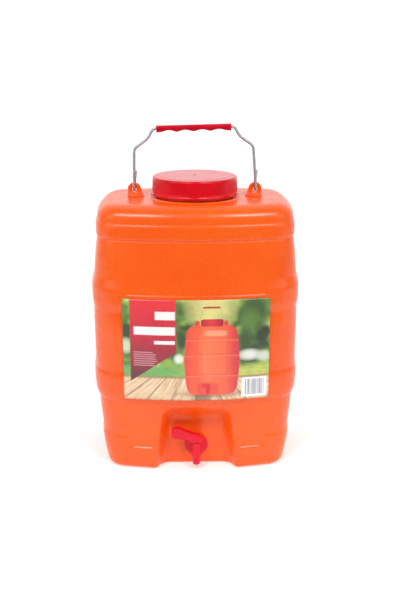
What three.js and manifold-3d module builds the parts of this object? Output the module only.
// A 20 litre camping water jug: a blow-moulded tank with a wide screw cap, a wire bail with a
// moulded grip, and a quarter-turn tap in an alcove at the foot of the front.
// Millimetres. +Z is up, the front with the tap faces -Y, and the origin is the centre of the base.

import * as THREE from 'three';
import { mergeVertices } from 'three/addons/utils/BufferGeometryUtils.js';
import Module from 'manifold-3d';

const wasm = await Module();
wasm.setup();

// ---------------------------------------------------------------- driving dimensions

const GAP = 0.3; // left between pieces that touch
const OVERSHOOT = 6; // how far a cutter runs past the face that it cuts

// Tank: the widest outline in plan, made of four shallow arcs joined by corner arcs.
const HALF_WIDTH = 150;
const HALF_DEPTH = 105;
const CORNER_RADIUS = 45;
const CORNER_X = 101.7;
const CORNER_Y = 48.6;
const WALL = 2.2;
const TANK_TOP = 390;
const BASE_FILLET = 7;
const TOP_FILLET = 7;

// Below FOOT_TOP the foot grows deeper, front and back, by up to this share of its depth.
const FOOT_TOP = 60;
const FOOT_SPREAD = 0.03;

// The tank's side: [height, how far inside the widest outline], from the base to the top.
const SIDE = [
  [7, 15.4], [22, 12.2], [38, 9.8], // foot
  [41, 9.1], [50, 9.1], [53, 9.8], // foot belt
  [60, 9.8], [88, 7.0], [104, 5.7], // lower taper
  [112, 3.2], [121, 1.2], [133, 0.3], [141, 0], [149, 0.5], // lower belt
  [154, 2.0], [168, 1.9], [226, 1.7], [243, 2.2], // middle panel
  [250, 0.8], [256, 0], [272, 0], [278, 0.6], // upper belt
  [284, 2.2], [290, 3.8], [316, 6.3], [344, 9.2], // upper taper
  [348, 8.6], [366, 9.4], // shoulder belt
  [371, 10.6], [376, 12.4], [383, 13.9], // shoulder
];

// Alcove for the tap: open at the front and below, narrower and lower at its back wall.
const ALCOVE_BACK_Y = -67;
const ALCOVE_FRONT_Y = -112;
const ALCOVE_BACK = { foot: 49, head: 40, top: 75, round: 14 };
const ALCOVE_FRONT = { foot: 71, head: 51, top: 115, round: 20 };

// Neck, cap and their thread.
const NECK_RADIUS = 54.6;
const MOUTH_RADIUS = 52.2;
const NECK_TOP = 414;
const COLLAR = { inner: 62.5, outer: 66, height: 1.6 };
const THREAD = { pitch: 8, turns: 1.25, depth: 2, root: 2.6, crest: 1.2, startHeight: 400 };
const CAP = { top: 420, bottom: 394, radius: 60.5, bead: 62.1, beadHeight: 2.4, skirt: 3.2, roof: 2.4 };
const GASKET = { inner: 50.4, thickness: 2.8 };

// Ears and bail.
const EAR_X = 86.7; // the wire's legs and the ears' holes
const EAR = { outer: 95.9, foot: 72.5, radius: 9.4, centreZ: 400.6, thickness: 5 };
const EAR_HOLE = { z: 399.5, radius: 3.5 };
const WIRE_RADIUS = 2;
const HOOK_RADIUS = 7;
const BAIL_AXIS_Z = 406.3;
const HOOK_END = { z: 426, lean: 2.2 };
const BAIL_BENDS = [[86.3, 416], [83.9, 460.5], [64.8, 474], [56.6, 487.7]]; // [X, Z] corners
const BEND_CUT = 3; // how far from each corner of the bail its bend starts
// The bail is bent a little out of true above its legs: moved along X, and rising towards +X.
const BAIL_LEAN = { shift: -1.5, slope: 0.025 };

// Grip: a sleeve on the straight of the bail, with four finger grooves below.
const GRIP = { length: 105, halfHeight: 4.6, halfDepth: 6.2, groove: 2.4, pitch: 23.5, flange: 1.0 };
const GRIP_BORE_RADIUS = WIRE_RADIUS + GAP;

// Tap.
const TAP_Z = 31.5;
const TAP_AXIS_Y = -86;
const TAP_FLANGE = { radius: 17, thickness: 3 };
const TAP_SHANK = { radius: 9.6, bore: 5.5, end: -47 };
const WASHER = { radius: 15.5, thickness: 2 };
const TAP_HOUSING = { radius: 7.1, top: 42.5, bore: 5.2, seat: 19.5 };
const SPOUT = { radius: 5.4, bore: 3.8, bottom: 8 };
const PADDLE_THICKNESS = 10.4;
const PLUG = { radius: 4.9, bore: 2.9, port: 2.6, grooveZ: 39.7, grooveWidth: 2, grooveDepth: 1.1 };
const NUT = { acrossFlats: 27, thickness: 8, bore: 10 };

// Label: curved to the front, resting on both belts.
const LABEL = { chord: 205, height: 148, centreZ: 191, thickness: 0.4 };

const ROUND = 40; // sides of the cap and neck
const SMALL_ROUND = 20; // sides of the tap's round features

// ---------------------------------------------------------------- solids

// A closed geometry as a manifold solid, whichever way its faces were wound.
function toSolid(geometry) {
  const bare = geometry.clone();
  bare.deleteAttribute('normal');
  bare.deleteAttribute('uv');
  const merged = mergeVertices(bare, 1e-4);
  const vertProperties = new Float32Array(merged.attributes.position.array);
  const at = (i) => new THREE.Vector3().fromArray(vertProperties, 3 * i);
  const triVerts = [];
  let volume = 0;
  for (let i = 0; i < merged.index.count; i += 3) {
    const [a, b, c] = [0, 1, 2].map((k) => merged.index.getX(i + k));
    if (a === b || b === c || c === a) continue;
    triVerts.push(a, b, c);
    volume += at(a).dot(at(b).cross(at(c)));
  }
  if (volume < 0) triVerts.reverse();
  const mesh = new wasm.Mesh({ numProp: 3, vertProperties, triVerts: new Uint32Array(triVerts) });
  return new wasm.Manifold(mesh);
}

function toGeometry(solid) {
  const { vertProperties, triVerts } = solid.getMesh();
  const geometry = new THREE.BufferGeometry();
  geometry.setAttribute('position', new THREE.BufferAttribute(vertProperties, 3));
  geometry.setIndex(new THREE.BufferAttribute(triVerts, 1));
  geometry.computeVertexNormals();
  return geometry;
}

// A solid through a stack of rings of equally many points, closed by a fan at each end.
function loft(rings) {
  const sides = rings[0].length;
  const points = rings.flat();
  const index = [];
  for (let k = 0; k < rings.length - 1; k++) {
    for (let i = 0; i < sides; i++) {
      const a = k * sides + i;
      const b = k * sides + ((i + 1) % sides);
      index.push(a, b, b + sides, a, b + sides, a + sides);
    }
  }
  for (const [k, flip] of [[0, true], [rings.length - 1, false]]) {
    const centre = points.length;
    points.push(rings[k].reduce((sum, p) => sum.add(p), new THREE.Vector3()).divideScalar(sides));
    for (let i = 0; i < sides; i++) {
      const a = k * sides + i;
      const b = k * sides + ((i + 1) % sides);
      index.push(centre, flip ? b : a, flip ? a : b);
    }
  }
  const geometry = new THREE.BufferGeometry().setFromPoints(points);
  geometry.setIndex(index);
  return toSolid(geometry);
}

// A solid turned about the Z axis from a closed profile of [radius, height] points.
function turned(profile, sides = ROUND) {
  const closed = [...profile, profile[0]].map(([r, z]) => new THREE.Vector2(r, z));
  return toSolid(new THREE.LatheGeometry(closed, sides).rotateX(Math.PI / 2));
}

// An upright rod or bore between two heights.
function rod(radius, z0, z1, sides = SMALL_ROUND, topRadius = radius) {
  const cylinder = new THREE.CylinderGeometry(topRadius, radius, z1 - z0, sides);
  return toSolid(cylinder.rotateX(Math.PI / 2).translate(0, 0, (z0 + z1) / 2));
}

// A rod or bore along Y, through the tap's centre line.
function tapRod(radius, y0, y1) {
  const cylinder = new THREE.CylinderGeometry(radius, radius, y1 - y0, SMALL_ROUND);
  return toSolid(cylinder.translate(0, (y0 + y1) / 2, TAP_Z));
}

// A shape drawn in X and Z, given thickness along Y and centred on the given Y.
function plate(shape, thickness, centreY = 0, bevel = 0) {
  const geometry = new THREE.ExtrudeGeometry(shape, {
    depth: thickness - 2 * bevel,
    bevelEnabled: bevel > 0,
    bevelThickness: bevel,
    bevelSize: bevel,
    bevelOffset: -bevel,
    bevelSegments: 2,
    curveSegments: 8,
  });
  geometry.translate(0, 0, bevel - thickness / 2).rotateX(Math.PI / 2);
  return toSolid(geometry.translate(0, centreY, 0));
}

// A single-start right-hand thread ridge with pointed ends. `side` is +1 outside, -1 inside.
function threadRidge(rootRadius, startHeight, side) {
  const steps = Math.round(THREAD.turns * 32);
  const rings = [];
  for (let i = 0; i <= steps; i++) {
    const turn = (THREAD.turns * i) / steps;
    const angle = turn * 2 * Math.PI;
    const fade = Math.min(1, i / 3, (steps - i) / 3);
    const depth = THREAD.depth * Math.max(fade, 0.15);
    const z = startHeight + turn * THREAD.pitch;
    const section = [
      [-0.6, -THREAD.root / 2],
      [depth, -THREAD.crest / 2],
      [depth, THREAD.crest / 2],
      [-0.6, THREAD.root / 2],
    ];
    rings.push(section.map(([out, dz]) => {
      const r = rootRadius + side * out;
      return new THREE.Vector3(r * Math.cos(angle), r * Math.sin(angle), z + dz);
    }));
  }
  return loft(rings);
}

// ---------------------------------------------------------------- tank

// Centre distance of the arc that crowns one side of the plan and runs into the corner arcs.
function crownCentre(half, along, across) {
  const rest = half - CORNER_RADIUS;
  return (along ** 2 + across ** 2 - rest ** 2) / (2 * (rest - along));
}

const FRONT_CENTRE = crownCentre(HALF_DEPTH, CORNER_Y, CORNER_X);
const SIDE_CENTRE = crownCentre(HALF_WIDTH, CORNER_X, CORNER_Y);
const FRONT_RADIUS = HALF_DEPTH + FRONT_CENTRE;
const FRONT_HALF_ANGLE = Math.atan2(CORNER_X, CORNER_Y + FRONT_CENTRE);
const SIDE_HALF_ANGLE = Math.atan2(CORNER_Y, CORNER_X + SIDE_CENTRE);

// One level of the tank: the widest outline moved inward by `inset`, and deepened at the foot.
function planRing(z, inset) {
  const ring = [];
  const spread = 1 + FOOT_SPREAD * Math.max(0, 1 - z / FOOT_TOP);
  const quarter = Math.PI / 2;
  const arc = (cx, cy, radius, from, to, steps) => {
    for (let i = 0; i < steps; i++) {
      const angle = from + ((to - from) * i) / steps;
      const r = radius - inset;
      ring.push(new THREE.Vector3(cx + r * Math.cos(angle), spread * (cy + r * Math.sin(angle)), z));
    }
  };
  const corner = (sx, sy, from, to) => arc(sx * CORNER_X, sy * CORNER_Y, CORNER_RADIUS, from, to, 5);
  const s = SIDE_HALF_ANGLE;
  const f = FRONT_HALF_ANGLE;
  arc(-SIDE_CENTRE, 0, HALF_WIDTH + SIDE_CENTRE, -s, s, 4);
  corner(1, 1, s, quarter - f);
  arc(0, -FRONT_CENTRE, FRONT_RADIUS, quarter - f, quarter + f, 6);
  corner(-1, 1, quarter + f, 2 * quarter - s);
  arc(SIDE_CENTRE, 0, HALF_WIDTH + SIDE_CENTRE, 2 * quarter - s, 2 * quarter + s, 4);
  corner(-1, -1, 2 * quarter + s, 3 * quarter - f);
  arc(0, FRONT_CENTRE, FRONT_RADIUS, 3 * quarter - f, 3 * quarter + f, 6);
  corner(1, -1, 3 * quarter + f, 4 * quarter - s);
  return ring;
}

// The whole side with its rounded edges: quarter arcs at the base and the top.
function sideProfile() {
  const [, baseInset] = SIDE[0];
  const [, topInset] = SIDE[SIDE.length - 1];
  const arc = [0, 30, 60].map(THREE.MathUtils.degToRad);
  const base = arc.map((a) => [
    BASE_FILLET * (1 - Math.cos(a)),
    baseInset + BASE_FILLET * (1 - Math.sin(a)),
  ]);
  const top = arc.map((a) => [
    TANK_TOP - TOP_FILLET * (1 - Math.cos(a)),
    topInset + TOP_FILLET * (1 - Math.sin(a)),
  ]);
  return [...base, ...SIDE, ...top.reverse()];
}

function insetAt(z) {
  const next = Math.max(1, SIDE.findIndex(([height]) => height >= z));
  const [z0, inset0] = SIDE[next - 1];
  const [z1, inset1] = SIDE[next];
  return inset0 + ((inset1 - inset0) * (z - z0)) / (z1 - z0);
}

// The space inside the walls, which follows only the main swells of the side.
function cavity() {
  const levels = [8, 41, 60, 104, 133, 154, 243, 256, 278, 316, 344, 366, 383];
  const rings = levels.map((z) => planRing(z, insetAt(z) + WALL + 0.6));
  const floor = planRing(WALL, SIDE[0][1] + BASE_FILLET);
  const ceiling = planRing(TANK_TOP - WALL, SIDE[SIDE.length - 1][1] + TOP_FILLET);
  return loft([floor, ...rings, ceiling]);
}

// The alcove's outline in X and Z: two sloping sides and a top with rounded corners.
function alcoveRing(y, { foot, head, top, round }) {
  const sideTop = new THREE.Vector2(head, top);
  const down = new THREE.Vector2(foot - head, -top).setLength(round).add(sideTop);
  const inward = new THREE.Vector2(head - round, top);
  const corner = new THREE.QuadraticBezierCurve(down, sideTop, inward).getPoints(4);
  const slope = (foot - head) / top;
  const right = [new THREE.Vector2(foot + slope * OVERSHOOT, -OVERSHOOT), ...corner];
  const left = right.map((p) => new THREE.Vector2(-p.x, p.y)).reverse();
  return [...right, ...left].map((p) => new THREE.Vector3(p.x, y, p.y));
}

function alcove(growth) {
  const grow = (s) => ({ ...s, foot: s.foot + growth, head: s.head + growth, top: s.top + growth });
  return loft([
    alcoveRing(ALCOVE_BACK_Y + growth, grow(ALCOVE_BACK)),
    alcoveRing(ALCOVE_FRONT_Y, grow(ALCOVE_FRONT)),
  ]);
}

function neck() {
  const lip = 0.7;
  const foot = TANK_TOP - WALL / 2;
  const tube = turned([
    [MOUTH_RADIUS, foot],
    [NECK_RADIUS, foot],
    [NECK_RADIUS, NECK_TOP - lip],
    [NECK_RADIUS - lip, NECK_TOP],
    [MOUTH_RADIUS + lip, NECK_TOP],
    [MOUTH_RADIUS, NECK_TOP - lip],
  ]);
  const collar = turned([
    [COLLAR.inner, foot],
    [COLLAR.outer, foot],
    [COLLAR.outer, TANK_TOP + COLLAR.height / 2],
    [COLLAR.outer - 1, TANK_TOP + COLLAR.height],
    [COLLAR.inner + 1, TANK_TOP + COLLAR.height],
    [COLLAR.inner, TANK_TOP + COLLAR.height / 2],
  ]);
  return tube.add(collar).add(threadRidge(NECK_RADIUS, THREAD.startHeight, 1));
}

// A rounded tab with the hole that the bail's hook turns in. `side` is +1 right, -1 left.
function ear(side) {
  const foot = TANK_TOP - WALL / 2;
  const arcEnd = THREE.MathUtils.degToRad(155);
  const shape = new THREE.Shape();
  shape.moveTo(EAR.outer, foot);
  shape.absarc(EAR.outer - EAR.radius, EAR.centreZ, EAR.radius, 0, arcEnd);
  shape.lineTo(EAR.foot, foot);
  const hole = new THREE.CylinderGeometry(EAR_HOLE.radius, EAR_HOLE.radius, 2 * EAR.thickness, 16);
  hole.translate(EAR_X, 0, EAR_HOLE.z);
  const right = plate(shape, EAR.thickness).subtract(toSolid(hole));
  return side > 0 ? right : right.mirror([1, 0, 0]);
}

function jugBody() {
  const skin = loft(sideProfile().map(([z, inset]) => planRing(z, inset))).subtract(alcove(0));
  const hollow = cavity().subtract(alcove(WALL));
  const mouth = rod(MOUTH_RADIUS, TANK_TOP - OVERSHOOT, NECK_TOP + OVERSHOOT, ROUND);
  const tapHole = tapRod(TAP_SHANK.radius + GAP, ALCOVE_BACK_Y - OVERSHOOT, ALCOVE_BACK_Y + OVERSHOOT);
  return skin
    .subtract(hollow)
    .subtract(mouth)
    .subtract(tapHole)
    .add(neck())
    .add(ear(1))
    .add(ear(-1));
}

// ---------------------------------------------------------------- cap

function screwCap() {
  const inner = CAP.radius - CAP.skirt;
  const round = 2.2;
  const beadTop = CAP.bottom + CAP.beadHeight;
  const outline = [
    [0, CAP.top],
    [CAP.radius - round, CAP.top],
    [CAP.radius - 0.6, CAP.top - 0.6],
    [CAP.radius, CAP.top - round],
    [CAP.radius + 0.8, beadTop + 0.8],
    [CAP.bead, beadTop],
    [CAP.bead, CAP.bottom],
    [inner, CAP.bottom],
    [inner, CAP.top - CAP.roof],
    [0, CAP.top - CAP.roof],
  ];
  const halfPitch = THREAD.pitch / 2;
  const ridge = threadRidge(inner, THREAD.startHeight - halfPitch + 0.6, -1);
  return turned(outline).add(ridge);
}

function capGasket() {
  const top = CAP.top - CAP.roof - GAP;
  const bottom = Math.max(NECK_TOP + GAP, top - GASKET.thickness);
  const outer = CAP.radius - CAP.skirt - GAP - 0.2;
  return turned([[GASKET.inner, bottom], [outer, bottom], [outer, top], [GASKET.inner, top]]);
}

// ---------------------------------------------------------------- bail and grip

// One half of the wire's centre line, from the end of the hook up to the grip.
function bailHalf(side) {
  const front = -HOOK_RADIUS;
  const x = side * EAR_X;
  const point = (px, py, pz) => new THREE.Vector3(px, py, pz);
  const end = point(x + HOOK_END.lean, HOOK_RADIUS, HOOK_END.z);
  const hookBack = point(x, HOOK_RADIUS, BAIL_AXIS_Z);
  const curves = [new THREE.LineCurve3(end, hookBack)];
  const pull = HOOK_RADIUS * 0.5523; // handle length that makes a cubic curve a quarter circle
  const bottom = point(x, 0, BAIL_AXIS_Z - HOOK_RADIUS);
  const hookFront = point(x, front, BAIL_AXIS_Z);
  const below = (p) => p.clone().add(point(0, 0, -pull));
  const beside = (p, dy) => p.clone().add(point(0, dy, 0));
  curves.push(new THREE.CubicBezierCurve3(hookBack, below(hookBack), beside(bottom, pull), bottom));
  curves.push(new THREE.CubicBezierCurve3(bottom, beside(bottom, -pull), below(hookFront), hookFront));
  const lean = (px, pz) => point(px + BAIL_LEAN.shift, front, pz + BAIL_LEAN.slope * px);
  const [legTop, ...upper] = BAIL_BENDS;
  const corners = [point(side * legTop[0], front, legTop[1])];
  corners.push(...upper.map(([px, pz]) => lean(side * px, pz)));
  const last = lean(0, gripCentreZ());
  let from = hookFront;
  corners.forEach((corner, i) => {
    const next = corners[i + 1] ?? last;
    const toward = (p) => p.clone().sub(corner).setLength(BEND_CUT).add(corner);
    const start = toward(from);
    const stop = toward(next);
    curves.push(new THREE.LineCurve3(from, start));
    curves.push(new THREE.QuadraticBezierCurve3(start, corner, stop));
    from = stop;
  });
  return { curves, end: from };
}

function bailWire() {
  const left = bailHalf(-1);
  const right = bailHalf(1);
  const path = new THREE.CurvePath();
  left.curves.forEach((curve) => path.add(curve));
  path.add(new THREE.LineCurve3(left.end, right.end));
  right.curves.reverse().forEach((curve) => path.add(reversed(curve)));
  const section = new THREE.Shape().absarc(0, 0, WIRE_RADIUS, 0, 2 * Math.PI);
  const settings = { extrudePath: path, steps: 120, curveSegments: 4, bevelEnabled: false };
  return toSolid(new THREE.ExtrudeGeometry(section, settings));
}

function reversed(curve) {
  if (curve.isLineCurve3) return new THREE.LineCurve3(curve.v2, curve.v1);
  if (curve.isQuadraticBezierCurve3) {
    return new THREE.QuadraticBezierCurve3(curve.v2, curve.v1, curve.v0);
  }
  return new THREE.CubicBezierCurve3(curve.v3, curve.v2, curve.v1, curve.v0);
}

function gripCentreZ() {
  return BAIL_BENDS[BAIL_BENDS.length - 1][1];
}

// The sleeve: an oval that is shallower below at each finger groove, with a flange at each end.
function handleGrip() {
  const half = GRIP.length / 2;
  const steps = 32;
  const sides = 12;
  const rings = [];
  for (let i = 0; i <= steps; i++) {
    const x = -half + (GRIP.length * i) / steps;
    const wave = 0.5 - 0.5 * Math.cos((2 * Math.PI * x) / GRIP.pitch);
    const inFlange = i === 0 || i === steps;
    const grow = inFlange ? 0 : -GRIP.flange / 2;
    const groove = Math.abs(x) < 2 * GRIP.pitch ? GRIP.groove * wave : 0;
    const ring = [];
    for (let k = 0; k < sides; k++) {
      const angle = (2 * Math.PI * k) / sides;
      const up = Math.sin(angle);
      const below = GRIP.halfHeight + 1.2 - groove;
      const height = (up > 0 ? GRIP.halfHeight : below) + grow;
      ring.push(new THREE.Vector3(x, (GRIP.halfDepth + grow) * Math.cos(angle), height * up));
    }
    rings.push(ring);
  }
  const bore = new THREE.CylinderGeometry(GRIP_BORE_RADIUS, GRIP_BORE_RADIUS, GRIP.length + OVERSHOOT, 16);
  const tilt = THREE.MathUtils.radToDeg(Math.atan(BAIL_LEAN.slope));
  return loft(rings)
    .subtract(toSolid(bore.rotateZ(Math.PI / 2)))
    .rotate([0, -tilt, 0])
    .translate(BAIL_LEAN.shift, -HOOK_RADIUS, gripCentreZ());
}

// ---------------------------------------------------------------- tap

const OUTER_WASHER_FRONT = ALCOVE_BACK_Y - GAP - WASHER.thickness;
const FLANGE_BACK = OUTER_WASHER_FRONT - GAP;

function onTapAxis(solid) {
  return solid.translate(0, TAP_AXIS_Y, 0);
}

function tapBody() {
  const flange = tapRod(TAP_FLANGE.radius, FLANGE_BACK - TAP_FLANGE.thickness, FLANGE_BACK);
  const shank = tapRod(TAP_SHANK.radius, FLANGE_BACK - 1, TAP_SHANK.end);
  const bridge = tapRod(TAP_HOUSING.radius - 0.8, TAP_AXIS_Y, FLANGE_BACK - 1);
  const housing = rod(TAP_HOUSING.radius, TAP_HOUSING.seat, TAP_HOUSING.top);
  const spout = rod(SPOUT.radius, SPOUT.bottom, TAP_HOUSING.seat + 1, SMALL_ROUND, TAP_HOUSING.radius);
  const seat = rod(TAP_HOUSING.bore, TAP_HOUSING.seat, TAP_HOUSING.top + OVERSHOOT);
  const outlet = rod(SPOUT.bore, SPOUT.bottom - OVERSHOOT, TAP_HOUSING.seat + OVERSHOOT);
  const inlet = tapRod(TAP_SHANK.bore, TAP_AXIS_Y + TAP_HOUSING.bore + 1.2, TAP_SHANK.end + OVERSHOOT);
  const port = tapRod(PLUG.port, TAP_AXIS_Y, TAP_AXIS_Y + TAP_HOUSING.radius + OVERSHOOT);
  return flange
    .add(shank)
    .add(bridge)
    .add(onTapAxis(housing.add(spout)))
    .subtract(onTapAxis(seat.add(outlet)))
    .subtract(inlet)
    .subtract(port);
}

// The paddle's outline in X and Z: a rounded heel over the plug, rising to a thick rounded end.
function paddleShape() {
  const shape = new THREE.Shape();
  shape.moveTo(8, TAP_HOUSING.top + GAP);
  shape.lineTo(9, 47);
  shape.quadraticCurveTo(9.5, 51.5, 5, 53);
  shape.lineTo(-27.5, 66);
  shape.quadraticCurveTo(-33.5, 67, -35.5, 61.5);
  shape.quadraticCurveTo(-37.4, 56, -35.4, 52.5);
  shape.quadraticCurveTo(-34, 49.9, -31, 49.7);
  shape.lineTo(-17, 48);
  shape.quadraticCurveTo(-9, 47, -7.5, TAP_HOUSING.top + GAP);
  return shape;
}

function tapLever() {
  const bottom = TAP_HOUSING.seat + GAP;
  const plug = rod(PLUG.radius, bottom, TAP_HOUSING.top + 2);
  const halfGroove = PLUG.grooveWidth / 2;
  const groove = rod(PLUG.radius + 1, PLUG.grooveZ - halfGroove, PLUG.grooveZ + halfGroove)
    .subtract(rod(PLUG.radius - PLUG.grooveDepth, 0, TANK_TOP));
  const hollow = rod(PLUG.bore, bottom - 1, TAP_Z + PLUG.port);
  const port = new THREE.CylinderGeometry(PLUG.port, PLUG.port, PLUG.radius + OVERSHOOT, SMALL_ROUND);
  port.rotateZ(Math.PI / 2).translate((PLUG.radius + OVERSHOOT) / 2, 0, TAP_Z);
  const paddle = plate(paddleShape(), PADDLE_THICKNESS, 0, 2);
  return onTapAxis(plug.subtract(groove).subtract(hollow).subtract(toSolid(port)).add(paddle));
}

function plugORing() {
  const inner = PLUG.radius - PLUG.grooveDepth + 0.05;
  const outer = TAP_HOUSING.bore - GAP / 2;
  const half = PLUG.grooveWidth / 2 - 0.2;
  const z = PLUG.grooveZ;
  const ring = turned([
    [inner, z - half / 2], [inner + 0.3, z - half], [outer - 0.3, z - half], [outer, z - half / 2],
    [outer, z + half / 2], [outer - 0.3, z + half], [inner + 0.3, z + half], [inner, z + half / 2],
  ], SMALL_ROUND);
  return onTapAxis(ring);
}

function washer(y0) {
  const disc = tapRod(WASHER.radius, y0, y0 + WASHER.thickness);
  return disc.subtract(tapRod(TAP_SHANK.radius + GAP, y0 - 1, y0 + WASHER.thickness + 1));
}

function lockNut() {
  const y0 = ALCOVE_BACK_Y + WALL + WASHER.thickness + 2 * GAP;
  const corner = NUT.acrossFlats / 2 / Math.cos(Math.PI / 6);
  const hexagon = new THREE.CylinderGeometry(corner, corner, NUT.thickness, 6);
  hexagon.translate(0, y0 + NUT.thickness / 2, TAP_Z);
  return toSolid(hexagon).subtract(tapRod(NUT.bore, y0 - 1, y0 + NUT.thickness + 1));
}

// ---------------------------------------------------------------- label

function frontLabel() {
  const inner = FRONT_RADIUS + GAP;
  const outer = inner + LABEL.thickness;
  const half = Math.asin(LABEL.chord / 2 / inner);
  const middle = -Math.PI / 2;
  const shape = new THREE.Shape();
  shape.absarc(0, 0, outer, middle - half, middle + half, false);
  shape.absarc(0, 0, inner, middle + half, middle - half, true);
  const geometry = new THREE.ExtrudeGeometry(shape, {
    depth: LABEL.height,
    bevelEnabled: false,
    curveSegments: 24,
  });
  return toSolid(geometry.translate(0, FRONT_CENTRE, LABEL.centreZ - LABEL.height / 2));
}

// ---------------------------------------------------------------- the assembly

const COLOUR = {
  orange: { color: 0xfa6020, roughness: 0.35, metalness: 0 },
  red: { color: 0xe4142a, roughness: 0.35, metalness: 0 },
  rubber: { color: 0x2a2a2a, roughness: 0.8, metalness: 0 },
  wire: { color: 0x9a9c9f, roughness: 0.35, metalness: 1 },
  print: { color: 0x9a6a4a, roughness: 0.4, metalness: 0 },
};

const jug = new THREE.Group();

function add(name, solid, colour) {
  const mesh = new THREE.Mesh(toGeometry(solid), new THREE.MeshStandardMaterial(colour));
  mesh.name = name;
  jug.add(mesh);
}

add('jug_body', jugBody(), COLOUR.orange);
add('screw_cap', screwCap(), COLOUR.red);
add('cap_gasket', capGasket(), COLOUR.rubber);
add('bail_wire', bailWire(), COLOUR.wire);
add('handle_grip', handleGrip(), COLOUR.red);
add('tap_body', tapBody(), COLOUR.red);
add('tap_lever', tapLever(), COLOUR.red);
add('plug_o_ring', plugORing(), COLOUR.rubber);
add('tap_outer_washer', washer(OUTER_WASHER_FRONT), COLOUR.rubber);
add('tap_inner_washer', washer(ALCOVE_BACK_Y + WALL + GAP), COLOUR.rubber);
add('tap_lock_nut', lockNut(), COLOUR.red);
add('label', frontLabel(), COLOUR.print);

export default jug;
